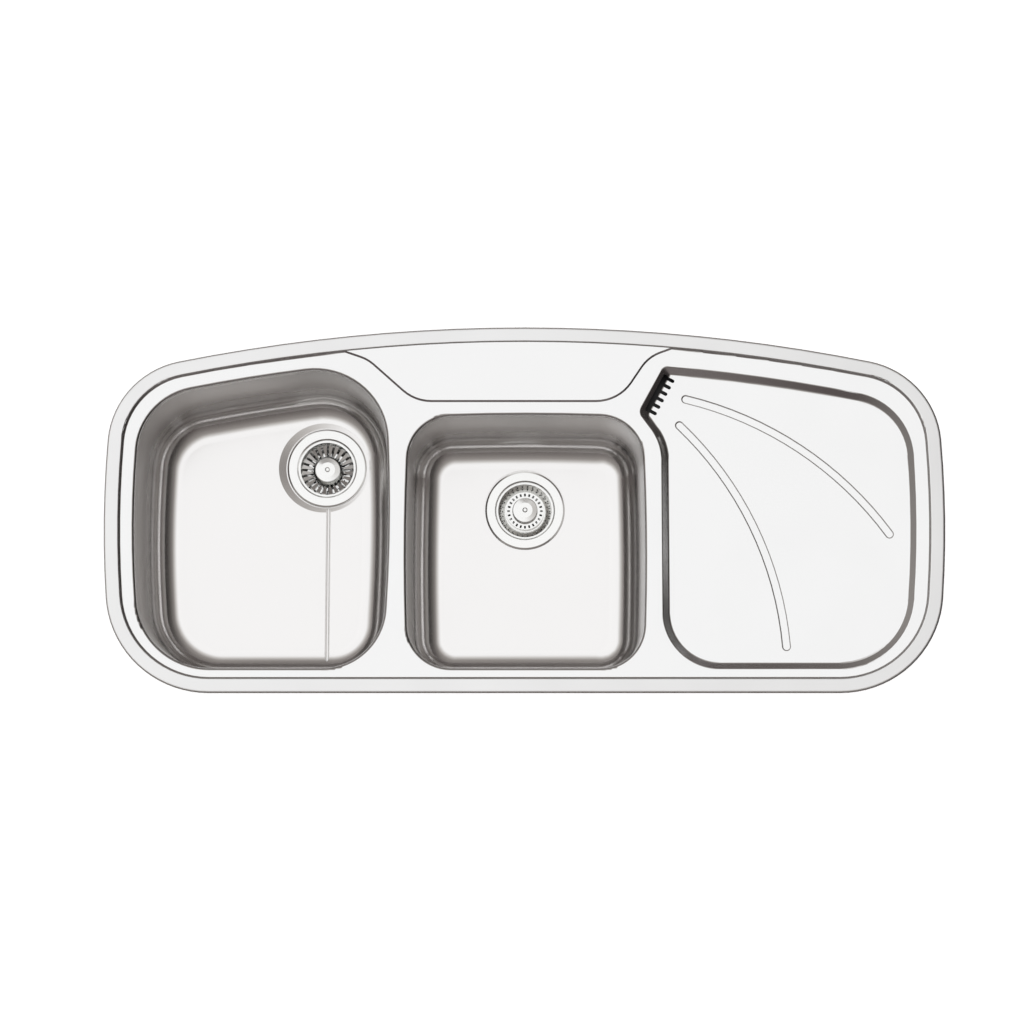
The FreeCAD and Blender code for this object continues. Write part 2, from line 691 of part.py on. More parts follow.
def band(start, end, curve, half):
    """An arc-shaped band with round ends, bulging to the left of its run."""
    chord = end - start
    side = Vector(-chord.y, chord.x, 0).normalize()
    rise = math.sqrt(curve ** 2 - (chord.Length / 2) ** 2)
    centre = (start + end) * 0.5 - side * rise
    out_start = (start - centre).normalize()
    out_end = (end - centre).normalize()
    tangent_start = Vector(out_start.y, -out_start.x, 0)
    tangent_end = Vector(out_end.y, -out_end.x, 0)
    outer = [centre + out * (curve + half) for out in (out_start, side, out_end)]
    inner = [centre + out * (curve - half) for out in (out_start, side, out_end)]
    return [
        Part.Arc(*outer),
        Part.Arc(outer[2], end + tangent_end * half, inner[2]),
        Part.Arc(inner[2], inner[1], inner[0]),
        Part.Arc(inner[0], start - tangent_start * half, outer[0]),
    ]


def furrow_runs():
    """Start and end of each furrow; both fan out from the outlet slots."""
    tip = Vector(size["drainer_tip_x"], size["drainer_tip_y"], 0)
    runs = []
    for name in ("back_furrow", "front_furrow"):
        start = Vector(size[name + "_start_x"], size[name + "_start_y"], 0)
        end = Vector(size[name + "_end_x"], size[name + "_end_y"], 0)
        runs.append((name, tip + start, tip + end))
    return runs


def add_furrows(body):
    """Two curved furrows pressed down into the drainer floor."""
    half = size["furrow_width"] / 2
    metal = size["sheet_metal"]
    tip = body.Tip
    for name, start, end in furrow_runs():
        skin = band(start, end, size["furrow_curve"], half + metal)
        under = drainer_floor_place(metal)
        sketch = outline_sketch(body, name + "_skin_outline", [skin], place=under)
        tip = pad(body, sketch, name + "_skin", "furrow_depth", down=True)
        edges = edges_along(tip, skin, under)
        fillet(body, tip, name + "_skin_round", edges, "furrow_round - sheet_metal")
        hollow = band(start, end, size["furrow_curve"], half)
        floor = drainer_floor_place()
        sketch = outline_sketch(body, name + "_outline", [hollow], place=floor)
        tip = pocket(body, sketch, name, "furrow_depth")
        edges = edges_along(tip, hollow, floor)
        tip = fillet(body, tip, name + "_edge_round", edges, "furrow_round")
    return tip


def outlet_run():
    """Middle and direction of the slotted wall, from the tip to the back left corner."""
    tip = Vector(size["drainer_tip_x"], size["drainer_tip_y"], 0)
    top_x = size["drainer_top_x"]
    top = Vector(top_x, back_line(size["rim_width"] + size["drainer_back_land"], top_x), 0)
    run = (top - tip).normalize()
    into = Vector(run.y, -run.x, 0)
    return (tip + top) * 0.5, run, into


def rounded_slot(start, end, half):
    """A slot with round ends from start to end."""
    along = (end - start).normalize() * half
    side = Vector(-along.y, along.x, 0)
    return [
        Part.LineSegment(start - side, end - side),
        Part.Arc(end - side, end + along, end + side),
        Part.LineSegment(end + side, start + side),
        Part.Arc(start + side, start - along, start - side),
    ]


def add_outlet_slots(body):
    """A long gap at the foot of the outlet wall, with a row of slots like a comb's."""
    middle, run, into = outlet_run()
    setback = size["outlet_wall"] - size["outlet_gap"] / 2 - size["outlet_lip"]
    gap_middle = middle + into * setback
    reach = run * (size["slot_pitch"] * (size["slot_count"] - 1) / 2)
    chain = rounded_slot(gap_middle - reach, gap_middle + reach, size["outlet_gap"] / 2)
    sketch = outline_sketch(body, "gap_outline", [chain], "land_top")
    pocket(body, sketch, "outlet_gap_cut", "tip_depth * 2")
    length = into * (size["slot_length"] - size["slot_width"] / 2)
    chains = []
    for index in range(int(size["slot_count"])):
        along = (index - (size["slot_count"] - 1) / 2) * size["slot_pitch"]
        start = gap_middle + run * along
        chains.append(rounded_slot(start, start + length, size["slot_width"] / 2))
    sketch = outline_sketch(body, "slot_outlines", chains, "land_top")
    return pocket(body, sketch, "outlet_slots", "tip_depth * 2")


def add_collar(body, name, corners):
    """The edge of a bowl opening, turned down to the weld."""
    metal = size["sheet_metal"]
    outer = outline(corners, -metal)
    mouth = outline(corners)
    sketch = outline_sketch(body, name + "_collar_outline", [outer], "land_top - sheet_metal")
    tip = pad(body, sketch, name + "_collar", "collar_depth - sheet_metal", down=True)
    edges = edges_along(tip, outer, level(size["land_top"] - metal))
    tip = fillet(body, tip, name + "_collar_round", edges, "opening_round - sheet_metal")
    sketch = outline_sketch(body, name + "_mouth_outline", [mouth], "land_top")
    tip = pocket(body, sketch, name + "_mouth", "collar_depth")
    edges = edges_along(tip, mouth, level(size["land_top"]))
    return fillet(body, tip, name + "_mouth_round", edges, "opening_round")


# ---------------------------------------------------------------- bowls

SEAT_RADIUS = "flange_radius + flange_play"
WASTE_HOLE = "cup_mouth + cup_metal + hole_play"


def bowl_form(name, layer, corners, recesses):
    """A solid bowl shape with its recesses: grown by the sheet for the outer layer."""
    label = "%s_%s" % (name, layer)
    body = new_body(label)
    depth = name + "_depth"
    grow = "bowl_metal" if layer == "outer" else "0"
    inset = -size["bowl_metal"] if layer == "outer" else 0.0
    sketch = outline_sketch(body, label + "_outline", [outline(corners, inset)],
                            "land_top - collar_depth")
    height = "%s + land_top - collar_depth + %s" % (depth, grow)
    tip = pad(body, sketch, label + "_draw", height, down=True, lean="0 - bowl_draft")
    fillet(body, tip, label + "_round", lowest_edges(tip), "%s_floor_round + %s" % (name, grow))
    for number, (across, radius, drop, slope) in enumerate(recesses):
        stem = "%s_recess_%d" % (label, number)
        along = name + "_drain_y"
        start = "0 - %s + recess_reach" % depth
        floor = "0 - %s - %s" % (depth, grow)
        radius = radius + " + " + grow
        sketch = circle_sketch(body, stem, radius, start, across, along)
        if slope is None:
            pad(body, sketch, stem + "_pad", "%s + recess_reach + %s" % (drop, grow), down=True)
        else:
            pad(body, sketch, stem + "_pad", "recess_reach + " + grow, down=True)
            mouth = circle_sketch(body, stem + "_mouth", radius, floor, across, along)
            narrow = radius + " - " + slope
            base = circle_sketch(body, stem + "_base", narrow, floor + " - " + drop, across, along)
            loft(body, "AdditiveLoft", stem + "_slope", mouth, base)
    return body


def make_bowl(name, corners, recesses):
    """A deep-drawn bowl that hangs from the collar, its floor recessed for the waste."""
    outer = bowl_form(name, "outer", corners, recesses)
    inner = bowl_form(name, "inner", corners, recesses)
    if name == "large":
        outer = with_groove(outer, "outer")
        inner = with_groove(inner, "inner")
    shell = joined("Cut", name + "_shell", outer, inner)
    hole = rod(name + "_waste_hole", WASTE_HOLE, "seat_depth * 4", "0")
    put(hole, (name + "_drain_x", name + "_drain_y", "0 - %s_depth - seat_depth * 3" % name))
    return joined("Cut", "bowl_" + name, shell, hole)


def lowest_edges(feature):
    """Names of the edges round a feature's bottom face."""
    low = feature.Shape.BoundBox.ZMin
    names = []
    for index, edge in enumerate(feature.Shape.Edges, start=1):
        if edge.BoundBox.ZMax < low + 0.01:
            names.append("Edge%d" % index)
    return names


def with_groove(form, layer):
    """Adds the straight half-round groove from the waste's dish to the front of the bowl."""
    grow = "bowl_metal" if layer == "outer" else "0"
    half = "groove_width / 2"
    curve = "((%s) ^ 2 + groove_depth ^ 2) / (groove_depth * 2)" % half
    axis = "0 - large_depth - groove_depth + " + curve
    start = "large_drain_y - dish_radius + groove_start"
    across = "large_drain_x + groove_shift"
    bar = rod("groove_bar_" + layer, "%s + %s" % (curve, grow), start + " - groove_front", "0")
    put(bar, (across, start, axis))
    bar.Placement.Rotation = Rotation(Vector(1, 0, 0), 90)
    form = joined("Fuse", "large_grooved_" + layer, form, bar)
    end = document.addObject("Part::Sphere", "groove_end_" + layer)
    end.setExpression("Radius", bound("%s + %s" % (curve, grow)))
    put(end, (across, "groove_front", axis))
    return joined("Fuse", "large_form_" + layer, form, end)


def make_bowls():
    large = make_bowl("large", large_bowl_corners(), [
        ("large_drain_x - dish_shift", "dish_radius", "dish_depth", "dish_slope"),
        ("large_drain_x", SEAT_RADIUS, "dish_depth + seat_depth", None),
    ])
    small = make_bowl("small", small_bowl_corners(), [
        ("small_drain_x", SEAT_RADIUS, "seat_depth", None),
    ])
    return [large, small]


# ---------------------------------------------------------------- wastes

def waste_place(bowl):
    """A waste's own origin is the middle of its seat in the bowl's floor."""
    dish = " - dish_depth" if bowl == "large" else ""
    seat = "0 - %s_depth%s - seat_depth" % (bowl, dish)
    return (bowl + "_drain_x", bowl + "_drain_y", seat)


FLANGE_TOP = "flange_seal + flange_rise"
CUP_FLOOR = FLANGE_TOP + " - cup_depth"
BASKET_SEAT = FLANGE_TOP + " - cup_step_depth"
BASKET_INNER = "cup_step - basket_clear"
HOUSING_TOP = "0 - bowl_metal - gasket_thickness"
HOUSING_BORE = "cup_mouth + cup_metal + housing_play"
HOUSING_RADIUS = HOUSING_BORE + " + housing_wall + housing_flange"


def make_cup(bowl):
    """Stainless flange and cup in one, with a step that carries the basket."""
    place = waste_place(bowl)
    profile = [
        ("bolt_radius + thread_fit * 4", CUP_FLOOR),
        ("cup_base - cup_foot", CUP_FLOOR),
        ("cup_base", CUP_FLOOR + " + cup_foot"),
        ("cup_step", BASKET_SEAT),
        ("cup_mouth", BASKET_SEAT),
        ("cup_mouth", FLANGE_TOP + " - 2"),
        ("cup_mouth + 2", FLANGE_TOP),
        ("flange_radius - 2.5", FLANGE_TOP),
        ("flange_radius", FLANGE_TOP + " - 1.2"),
        ("flange_radius", "flange_seal"),
        ("cup_mouth + cup_metal + 0.6", "flange_seal"),
        ("cup_mouth + cup_metal", "flange_seal - 0.6"),
        ("cup_mouth + cup_metal", BASKET_SEAT + " - cup_metal"),
        ("cup_step + cup_metal", BASKET_SEAT + " - cup_metal"),
        ("cup_base + cup_metal", CUP_FLOOR + " + cup_foot - cup_metal * 0.4"),
        ("cup_base - cup_foot + cup_metal * 0.4", CUP_FLOOR + " - cup_metal"),
        ("bolt_radius + thread_fit * 4", CUP_FLOOR + " - cup_metal"),
    ]
    body = turned("waste_cup_" + bowl, profile, place)
    sketch = circle_sketch(body, "cup_hole_" + bowl, "cup_hole", CUP_FLOOR,
                           "cup_hole_ring", "0")
    hole = pocket(body, sketch, "cup_drain_hole_" + bowl, "cup_metal * 2")
    around(body, hole, "cup_drain_holes_" + bowl, "cup_hole_count")
    return body


def ring_profile(inner, outer, low, high):
    return [(inner, low), (outer, low), (outer, high), (inner, high)]


def make_seals(bowl):
    place = waste_place(bowl)
    seal = ring_profile(WASTE_HOLE + " + 1", "flange_radius - 1", "0", "flange_seal")
    gasket = ring_profile(WASTE_HOLE + " + 1", HOUSING_RADIUS + " - 1", HOUSING_TOP,
                          "0 - bowl_metal")
    return [
        turned("flange_seal_" + bowl, seal, place),
        turned("waste_gasket_" + bowl, gasket, place),
    ]


def make_housing(bowl):
    """Moulded housing under the bowl: flange, barrel, cone, threaded spigot and boss."""
    place = waste_place(bowl)
    cone_top = CUP_FLOOR + " - cup_metal - housing_room"
    cone_end = cone_top + " - cone_depth"
    barrel = HOUSING_BORE + " + housing_wall"
    end = cone_end + " - spigot_length"
    profile = [
        (HOUSING_BORE, HOUSING_TOP),
        (HOUSING_RADIUS, HOUSING_TOP),
        (HOUSING_RADIUS, HOUSING_TOP + " - housing_lip"),
        (barrel + " + 3", HOUSING_TOP + " - housing_lip"),
        (barrel, HOUSING_TOP + " - housing_lip - 3"),
        (barrel, cone_top),
        ("spigot_radius", cone_end),
        ("spigot_radius", end),
        ("spigot_radius - housing_wall", end),
        ("spigot_radius - housing_wall", cone_end),
        (HOUSING_BORE, cone_top),
    ]
    body = turned("waste_housing_" + bowl, profile, place)
    top = CUP_FLOOR + " - cup_metal"
    sketch = circle_sketch(body, "boss_circle_" + bowl, "boss_radius", top)
    pad(body, sketch, "boss_" + bowl, "boss_length", down=True)
    reach = HOUSING_BORE + " + housing_wall / 2"
    for name, wide, deep in (("web_x", reach, "web_width / 2"), ("web_y", "web_width / 2", reach)):
        corners = [("0 - (%s)" % wide, "0 - (%s)" % deep), (wide, "0 - (%s)" % deep),
                   (wide, deep), ("0 - (%s)" % wide, deep)]
        sketch = polygon_sketch(body, name + bowl, corners, "XY_Plane", top + " - boss_length / 2")
        pad(body, sketch, name + "_pad_" + bowl, "2", down=True)
    sketch = circle_sketch(body, "boss_bore_" + bowl, "bolt_radius + thread_fit", top)
    pocket(body, sketch, "boss_thread_" + bowl, "boss_length")
    return body


def make_bolt(bowl):
    """The centre bolt pulls the cup and the housing together."""
    end = CUP_FLOOR + " - bolt_grip"
    profile = [
        ("0", CUP_FLOOR + " + 3"),
        ("0", end),
        ("bolt_radius", end),
        ("bolt_radius", CUP_FLOOR),
        ("bolt_head", CUP_FLOOR),
        ("bolt_head", CUP_FLOOR + " + 2"),
        ("bolt_head - 1", CUP_FLOOR + " + 3"),
    ]
    return turned("waste_bolt_" + bowl, profile, waste_place(bowl))


def make_slotted_basket():
    """The large bowl's basket: a steep wall, then a cone with radial slots."""
    rim = "cup_mouth - basket_play"
    low = BASKET_SEAT + " - basket_depth"
    waist = BASKET_SEAT + " - basket_wall"
    profile = [
        ("stem_radius + stem_fit", low),
        ("basket_floor", low),
        ("basket_waist", waist),
        (BASKET_INNER, BASKET_SEAT),
        (rim, BASKET_SEAT),
        (rim, BASKET_SEAT + " + basket_metal"),
        (BASKET_INNER + " - basket_metal", BASKET_SEAT + " + basket_metal"),
        ("basket_waist - basket_metal", waist + " + basket_metal * 0.6"),
        ("basket_floor - basket_metal * 0.3", low + " + basket_metal"),
        ("stem_radius + stem_fit", low + " + basket_metal"),
    ]
    body = turned("basket_large", profile, waste_place("large"))
    slot = radial_cut(body, "radial_slot_cut", "basket_floor + 3", "basket_waist - 1",
                      "radial_slot / 2", BASKET_SEAT)
    around(body, slot, "radial_slots", "slot_ring_count")
    return body


def radial_cut(body, name, inner, outer, half, height):
    """One slot along a radius, cut down from a height through the sheet."""
    corners = [
        (inner, "0 - " + half),
        (outer, "0 - " + half),
        (outer, half),
        (inner, half),
    ]
    sketch = polygon_sketch(body, name + "_outline", corners, "XY_Plane", height)
    return pocket(body, sketch, name, "basket_depth * 2")


def make_drilled_basket():
    """The small bowl's basket: a drilled trough about a cage with slots in its top."""
    rim = "cup_mouth - basket_play"
    low = BASKET_SEAT + " - trough_depth"
    crown = BASKET_SEAT + " - cage_drop"
    profile = [
        ("stem_radius + stem_fit", crown),
        ("cage_radius - basket_metal", crown),
        ("cage_radius", low),
        ("trough_radius", low),
        (BASKET_INNER, BASKET_SEAT),
        (rim, BASKET_SEAT),
        (rim, BASKET_SEAT + " + basket_metal"),
        (BASKET_INNER + " - basket_metal * 0.7", BASKET_SEAT + " + basket_metal"),
        ("trough_radius - basket_metal * 0.5", low + " + basket_metal"),
        ("cage_radius + basket_metal", low + " + basket_metal"),
        ("cage_radius", crown + " + basket_metal"),
        ("stem_radius + stem_fit", crown + " + basket_metal"),
    ]
    body = turned("basket_small", profile, waste_place("small"))
    slot = radial_cut(body, "cage_slot_cut", "cage_slot_start", "cage_radius - basket_metal * 2",
                      "cage_slot / 2", BASKET_SEAT)
    around(body, slot, "cage_slots", "cage_slots")
    for row in ("lower", "upper"):
        name = row + "_trough_hole"
        sketch = circle_sketch(body, name, "trough_hole", BASKET_SEAT,
                               row + "_hole_ring", "0")
        hole = pocket(body, sketch, name + "_cut", "trough_depth * 2")
        around(body, hole, name + "_row", "trough_holes")
    return body


def make_basket_fittings(bowl, floor):
    """Lifting knob with its stem, rubber stopper and the nut that holds them."""
    place = waste_place(bowl)
    top = floor + " + basket_metal"
    under = floor + " - stopper_thickness"
    cap = top + " + neck_length"
    crown = cap + " + cap_thickness + cap_crown"
    knob = [
        ("0", under + " - nut_height - 1"),
        ("stem_radius", under + " - nut_height - 1"),
        ("stem_radius", top),
        ("knob_neck", top),
        ("knob_neck", cap),
        ("knob_radius - 1.5", cap),
        ("knob_radius", cap + " + 1"),
        ("knob_radius", cap + " + cap_thickness - 0.8"),
        ("knob_radius - 1", cap + " + cap_thickness"),
        ("knob_radius * 0.6", crown + " - cap_crown * 0.3"),
        ("cap_button", crown),
        ("cap_button - 0.6", crown + " + button_rise - 0.4"),
        ("cap_button - 1.4", crown + " + button_rise"),
        ("0", crown + " + button_rise"),
    ]
    bore = "stem_radius + stem_fit"
    stopper = [
        (bore, under),
        ("stopper_radius - 3", under),
        ("stopper_radius", under + " + 1.5"),
        ("stopper_radius", floor),
        (bore, floor),
    ]
    nut = ring_profile(bore, "nut_radius", under + " - nut_height", under)
    return [
        turned("basket_knob_" + bowl, knob, place),
        turned("basket_stopper_" + bowl, stopper, place),
        turned("basket_nut_" + bowl, nut, place),
    ]


def make_wastes():
    made = []
    for bowl in ("large", "small"):
        made.append(make_cup(bowl))
        made.extend(make_seals(bowl))
        made.append(make_housing(bowl))
        made.append(make_bolt(bowl))
    made.append(make_slotted_basket())
    made.append(make_drilled_basket())
    made.extend(make_basket_fittings("large", BASKET_SEAT + " - basket_depth"))
    made.extend(make_basket_fittings("small", BASKET_SEAT + " - cage_drop"))
    return made


# ---------------------------------------------------------------- underside

def box(name, sizes, corner):
    """A box whose sizes and low corner are formulas in size names."""
    solid = document.addObject("Part::Box", name)
    for side, formula in zip(("Length", "Width", "Height"), sizes):
        solid.setExpression(side, bound(formula))
    put(solid, corner)
    return solid


def rod(name, radius, length, low, across="0"):
    solid = document.addObject("Part::Cylinder", name)
    solid.setExpression("Radius", bound(radius))
    solid.setExpression("Height", bound(length))
    put(solid, (across, "0", low))
    return solid


def joined(kind, label, base, tool):
    result = document.addObject("Part::" + kind, label)
    result.Label = label
    result.Base = base
    result.Tool = tool
    return result


def make_rim_seal():
    """Foam tape that fills the rim's hollow down to the worktop."""
    body = new_body("rim_seal")
    rim = rim_corners()
    outer = outline(rim, size["seal_edge_gap"])
    inner = outline(rim, size["seal_edge_gap"] + size["seal_width"])
    sketch = outline_sketch(body, "seal_outline", [outer, inner])
    pad(body, sketch, "seal", "rim_height - sheet_metal")
    return body


def make_sound_pads():
    """Damping pads glued under the flat floors, in front of the wastes."""
    front = "pad_front_gap - front_reach"
    under = "0 - %s_depth - bowl_metal - pad_thickness"
    large = box("sound_pad_large", ("large_pad_length", "large_pad_width", "pad_thickness"),
                ("large_drain_x - large_pad_offset", front, under % "large"))
    small = box("sound_pad_small", ("small_pad_length", "small_pad_width", "pad_thickness"),
                ("small_drain_x - small_pad_length / 2", front, under % "small"))
    return [large, small]


def clamp_places():
    """Where the clamps stand, and which way each one faces outwards."""
    inset = size["rim_width"] + size["clamp_inset"]
    front = -size["front_reach"] + inset
    spread = size["clamp_spread"]
    places = []
    for across in (-spread, 0.0, spread):
        places.append((across, front, -90.0))
    for across in (spread, 0.0, -spread):
        lean = math.degrees(math.asin(across / (size["back_curve"] - inset)))
        places.append((across, back_line(inset, across), 90.0 - lean))
    for side, turn in ((-1, 180.0), (1, 0.0)):
        places.append((side * end_line(inset, 0), 0.0, turn))
    return places


def make_bracket(number):
    """A folded strap: top welded under the land, legs, and a tab tapped for the screw."""
    name = "bracket_%d" % number
    half_wide = "0 - bracket_width / 2"
    half_long = "0 - bracket_length / 2"
    outer = box(name + "_block", ("bracket_width", "bracket_length", "bracket_drop"),
                (half_wide, half_long, "0 - bracket_drop"))
    inner = box(name + "_gap",
                ("bracket_width * 2", "bracket_length - bracket_metal * 2",
                 "bracket_drop - bracket_metal - tab_metal"),
                ("0 - bracket_width", half_long + " + bracket_metal",
                 "0 - bracket_drop + tab_metal"))
    strap = joined("Cut", name + "_strap", outer, inner)
    bore = rod(name + "_bore", "screw_radius + thread_fit", "tab_metal * 2",
               "0 - bracket_drop - tab_metal / 2")
    return joined("Cut", name, strap, bore)


def make_screw(number):
    """Clamp screw, head down."""
    name = "clamp_screw_%d" % number
    head_top = "0 - screw_tip - screw_length"
    shank = rod(name + "_shank", "screw_radius", "screw_length", head_top)
    head = rod(name + "_head", "head_radius", "head_height", head_top + " - head_height")
    return joined("Fuse", name, shank, head)


def make_arm(number):
    """Clamp arm: a flat finger on the screw's head, its end turned up to bite the worktop."""
    name = "clamp_arm_%d" % number
    low = "0 - screw_tip - screw_length"
    half = "0 - arm_width / 2"
    finger = box(name + "_finger", ("arm_width", "arm_length", "arm_metal"), (half, "0", low))
    lip = box(name + "_lip", ("arm_width", "arm_metal", "arm_metal + arm_lip"),
              (half, "arm_length - arm_metal", low))
    eye = rod(name + "_eye", "arm_width / 2", "arm_metal", low)
    bore = rod(name + "_bore", "screw_radius + thread_fit * 2", "arm_metal * 3",
               low + " - arm_metal")
    blank = joined("Fuse", name + "_blank", finger, lip)
    blank = joined("Fuse", name + "_shape", blank, eye)
    return joined("Cut", name, blank, bore)


def make_clamps():
    made = []
    brackets = []
    for number, (across, along, turn) in enumerate(clamp_places(), start=1):
        place = Placement(Vector(across, along, 0), Rotation(Vector(0, 0, 1), turn))
        bracket = make_bracket(number)
        bracket.Placement = place
        brackets.append(bracket)
        for piece in (make_screw(number), make_arm(number)):
            piece.Placement = place
            made.append(piece)
    group = document.addObject("Part::Compound", "clamp_brackets")
    group.Label = "clamp_brackets"
    group.Links = brackets
    return [group] + made


def make_outlet_box():
    """Moulded box that gathers the drainer's water, with a hose spigot towards the back."""
    middle, run, into = outlet_run()
    turn = math.degrees(math.atan2(into.y, into.x))
    long = "slot_count * slot_pitch + outlet_box_spare * 2"
    half = "0 - (%s) / 2" % long
    floor = "0 - tip_depth - outlet_box_depth"
    wall = "outlet_box_wall"
    outer = box("outlet_outer", ("outlet_box_width", long, "tip_depth + outlet_box_depth"),
                ("0", half, floor))
    inner = box("outlet_inner",
                ("outlet_box_width - %s * 2" % wall, long + " - %s * 2" % wall,
                 "tip_depth + outlet_box_depth"),
                (wall, half + " + " + wall, floor + " + " + wall))
    middle_height = floor + " + outlet_box_wall + hose_spigot"
    spigot = rod("outlet_spigot", "hose_spigot", "hose_spigot_length + " + wall, middle_height, wall)
    bore = rod("outlet_bore", "hose_spigot - " + wall, "hose_spigot_length + %s * 3" % wall,
               middle_height, wall + " * 2")
    for piece in (spigot, bore):
        piece.Placement.Rotation = Rotation(Vector(0, 1, 0), -90)
    block = joined("Fuse", "outlet_block", outer, spigot)
    block = joined("Cut", "outlet_tub", block, inner)
    block = joined("Cut", "outlet_drilled", block, bore)
    start = middle + into * size["outlet_box_shift"]
    block.Placement = Placement(start, Rotation(Vector(0, 0, 1), turn))
    return joined("Cut", "drainer_outlet_box", block, make_pan_shadow())


def make_pan_shadow():
    """The drainer pan's outer form, used to trim what is welded under it."""
    body = new_body("pan_shadow")
    corners = drainer_corners()
    metal = size["sheet_metal"]
    skew = metal * SKEW_SHARE
    mouth = outline(corners, -skew)
    mouth = outline_sketch(body, "shadow_mouth", [mouth], "land_top - sheet_metal")
    base = outline(corners, insets=drainer_wall_insets(-skew))
    base = outline_sketch(body, "shadow_base", [base], place=drainer_floor_place(metal))
    loft(body, "AdditiveLoft", "shadow", mouth, base)
    return body


# ---------------------------------------------------------------- check and write

def check_objects():
    for thing in document.Objects:
        bad = [word for word in thing.State if word in ("Invalid", "Error")]
        if bad:
            raise RuntimeError("%s: %s" % (thing.Name, thing.State))


def write_parts(parts):
    """Checks every shape before any file is written."""
    for part in parts:
        if part.Shape.isNull() or not part.Shape.isValid():
            raise RuntimeError(part.Label + " has no valid shape")
    os.makedirs("parts", exist_ok=True)
    for part in parts:
        part.Shape.exportStep("parts/%s.step" % part.Label)
        print(part.Label, len(part.Shape.Solids), round(part.Shape.Volume, 1))


def main():
    parts = [make_deck()]
    parts.extend(make_bowls())
    parts.extend(make_wastes())
    parts.append(make_rim_seal())
    parts.extend(make_sound_pads())
    parts.extend(make_clamps())
    parts.append(make_outlet_box())
    document.recompute()
    check_objects()
    write_parts(parts)


main()
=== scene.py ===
import math

import bpy
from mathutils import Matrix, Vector


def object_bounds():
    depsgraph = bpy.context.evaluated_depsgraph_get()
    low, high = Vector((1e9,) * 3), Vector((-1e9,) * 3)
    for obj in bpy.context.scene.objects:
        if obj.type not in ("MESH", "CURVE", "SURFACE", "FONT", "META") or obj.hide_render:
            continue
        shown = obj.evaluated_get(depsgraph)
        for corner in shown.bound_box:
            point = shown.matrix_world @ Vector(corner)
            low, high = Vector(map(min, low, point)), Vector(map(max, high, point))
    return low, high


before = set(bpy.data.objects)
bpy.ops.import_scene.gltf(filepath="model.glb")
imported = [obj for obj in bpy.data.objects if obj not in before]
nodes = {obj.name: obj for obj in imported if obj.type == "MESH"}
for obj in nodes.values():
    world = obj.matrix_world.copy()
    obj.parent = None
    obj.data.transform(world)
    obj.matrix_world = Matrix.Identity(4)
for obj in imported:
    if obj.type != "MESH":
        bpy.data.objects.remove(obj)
cad_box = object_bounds()
bpy.ops.object.select_all(action="DESELECT")


# Camera: nearly overhead, a little towards the front edge of the sink, with a long lens
# so that both ends of the deck are seen almost square on.
view_height = math.radians(80.5)
view_distance = 4.2
camera_data = bpy.data.cameras.new("camera")
camera_data.lens = 107.2
camera_data.sensor_width = 36.0
camera_data.shift_x = -0.0122
camera_data.shift_y = -0.0031
camera_data.clip_end = 50.0
camera = bpy.data.objects.new("camera", camera_data)
camera.location = (0, -view_distance * math.cos(view_height), view_distance * math.sin(view_height))
camera.rotation_euler = (math.radians(90) - view_height, 0, 0)
bpy.context.scene.collection.objects.link(camera)
bpy.context.scene.camera = camera


# Studio floor: a pale matt sheet just under the sink. It glows a little, as a backlit
# table does, so that it stays even and takes only a faint shadow.
floor_drop = 0.002
floor_width = 30.0
bpy.ops.mesh.primitive_plane_add(size=floor_width, location=(0, 0, cad_box[0][2] - floor_drop))
studio_floor = bpy.context.object
studio_floor.name = "studio_floor"
bpy.ops.object.transform_apply(location=True, rotation=True, scale=True)
floor_paint = bpy.data.materials.new("floor_paint")
floor_paint.use_nodes = True
floor_shader = floor_paint.node_tree.nodes["Principled BSDF"]
floor_shader.inputs["Base Color"].default_value = (0.93, 0.93, 0.93, 1)
floor_shader.inputs["Roughness"].default_value = 0.9
floor_shader.inputs["Specular IOR Level"].default_value = 0.0
floor_shader.inputs["Emission Color"].default_value = (1, 1, 1, 1)
floor_shader.inputs["Emission Strength"].default_value = 0.76
studio_floor.data.materials.append(floor_paint)
bpy.ops.object.select_all(action="DESELECT")


# Studio light: a wide soft white ceiling, leaning to the back and the left, and a room
# that falls to warm dark walls, darkest at the right, for upright steel to mirror.
ceiling_aim = Vector((-0.24, 0.14, 1.0)).normalized()
light_strength = 1.06
room_shades = (
    (0.00, (0.170, 0.150, 0.145)),
    (0.16, (0.085, 0.070, 0.068)),
    (0.38, (0.160, 0.145, 0.138)),
    (0.54, (0.205, 0.188, 0.178)),
    (0.74, (0.300, 0.280, 0.265)),
    (0.84, (0.600, 0.580, 0.560)),
    (0.915, (1.0, 1.0, 1.0)),
)
right_side = (0.35, 0.85)
right_shade = 0.22
world = bpy.data.worlds.new("studio")
bpy.context.scene.world = world
world.use_nodes = True
room = world.node_tree
direction = room.nodes.new("ShaderNodeTexCoord")
aim = room.nodes.new("ShaderNodeVectorMath")
aim.operation = "DOT_PRODUCT"
aim.inputs[1].default_value = ceiling_aim
sky = room.nodes.new("ShaderNodeValToRGB")
shades = sky.color_ramp.elements
shades.remove(shades[1])
for index, (place, shade) in enumerate(room_shades):
    stop = shades[0] if index == 0 else shades.new(place)
    stop.position = place
    stop.color = (*shade, 1)
split = room.nodes.new("ShaderNodeSeparateXYZ")
fall = room.nodes.new("ShaderNodeMapRange")
fall.inputs["From Min"].default_value = right_side[0]
fall.inputs["From Max"].default_value = right_side[1]
fall.inputs["To Min"].default_value = 1.0
fall.inputs["To Max"].default_value = right_shade
shaded = room.nodes.new("ShaderNodeVectorMath")
shaded.operation = "SCALE"
room.links.new(direction.outputs["Generated"], aim.inputs[0])
room.links.new(aim.outputs["Value"], sky.inputs["Fac"])
room.links.new(direction.outputs["Generated"], split.inputs["Vector"])
room.links.new(split.outputs["X"], fall.inputs["Value"])
